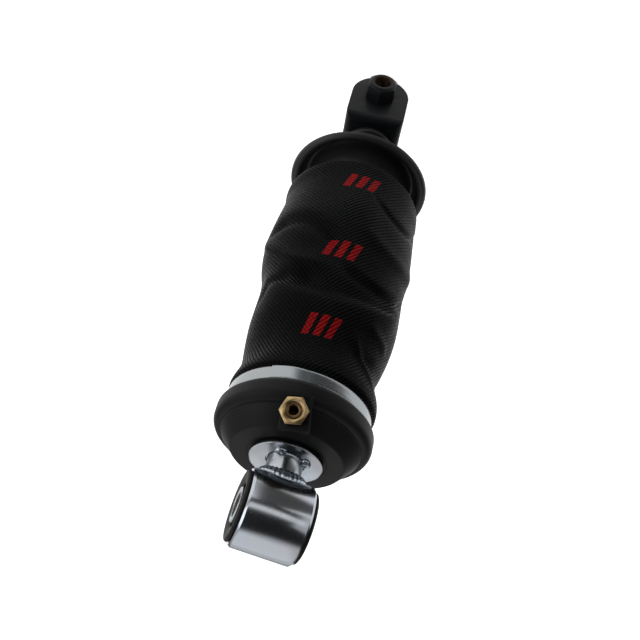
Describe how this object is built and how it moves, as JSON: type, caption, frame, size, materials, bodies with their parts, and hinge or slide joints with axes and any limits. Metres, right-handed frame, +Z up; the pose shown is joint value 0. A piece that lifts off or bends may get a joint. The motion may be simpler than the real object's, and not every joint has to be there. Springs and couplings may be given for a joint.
{
  "type": "cab air-spring damper",
  "caption": "Air-spring damper: a fabric bellows between a flared piston on a fork bracket and a clamped cap with an air fitting and a rubber-bushed eye.",
  "frame": {"origin": "centre of the fork's bolt hole, midway between its ears", "axes": "+Z up the damper from the fork to the eye, +Y along the fork's bolt, away from the weld nut"},
  "size_m": [0.0888, 0.0892, 0.3446],
  "materials": {
    "black_paint": "satin black paint",
    "black_plastic": "satin moulded black plastic",
    "cap_plastic": "fine-grained moulded black plastic",
    "bellows_fabric": "ribbed cord-reinforced rubber with printed red marks",
    "black_rubber": "matte",
    "bush_rubber": "matte moulded rubber",
    "bump_foam": "microcellular foam",
    "zinc_steel": "bright zinc plating, blue passivated",
    "weld_steel": "zinc plated weld bead",
    "sleeve_steel": "zinc plated, serrated ends",
    "clamp_steel": "galvanised strip",
    "inner_steel": "machined",
    "aluminium_cast": "machined casting",
    "slide_band": "filled slide plastic",
    "chromed_rod": "hard chrome",
    "fitting_brass": "turned brass"
  },
  "bodies": {
    "lower_body": {"fork_bracket": "black_paint", "fork_nut": "black_paint", "fork_stem": "black_paint", "stem_weld": "black_paint", "damper_tube": "black_paint", "tube_base_cap": "black_paint", "base_valve": "inner_steel", "inner_cylinder": "inner_steel", "rod_guide": "aluminium_cast", "rod_seal": "black_rubber", "rolling_piston": "black_plastic", "bellows_seat_ring": "black_rubber", "lower_clamp_ring": "clamp_steel"},
    "piston": {"damper_piston": "inner_steel", "piston_band": "slide_band"},
    "head": {"piston_rod": "chromed_rod", "piston_nut": "inner_steel", "rebound_ring": "inner_steel", "bump_stop": "bump_foam", "cap_seal": "black_rubber", "end_cap": "cap_plastic", "upper_clamp_ring": "clamp_steel", "bellows": "bellows_fabric", "stop_washer": "zinc_steel", "eye_neck": "zinc_steel", "eye_weld": "weld_steel", "tack_welds": "weld_steel", "eye_tube": "zinc_steel", "eye_rubber": "bush_rubber", "air_fitting": "fitting_brass", "fitting_seal": "black_rubber"},
    "bush_sleeve": {"eye_sleeve": "sleeve_steel"},
    "collet": {"fitting_collet": "fitting_brass"}
  },
  "joints": [
    {"name": "damper_slide", "type": "slide", "parent": "lower_body", "child": "piston", "axis": [0, 0, 1], "range_m": [-0.06, 0], "stiffness_N_per_m": 1500, "springref_m": 0.1, "deforming": ["bellows"]},
    {"name": "rod_swivel", "type": "hinge", "parent": "piston", "child": "head", "pos_m": [0, 0, 0], "axis": [0, 0, 1], "range_deg": [-12, 12], "stiffness_Nm_per_rad": 5},
    {"name": "bush_twist", "type": "hinge", "parent": "head", "child": "bush_sleeve", "pos_m": [0, 0, 0.3055], "axis": [0.9765, -0.2156, 0], "range_deg": [-12, 12], "stiffness_Nm_per_rad": 0.5},
    {"name": "collet_press", "type": "slide", "parent": "head", "child": "collet", "axis": [0.1899, -0.8936, 0.4067], "range_m": [-0.001, 0], "stiffness_N_per_m": 200, "springref_m": 0.002}
  ]
}
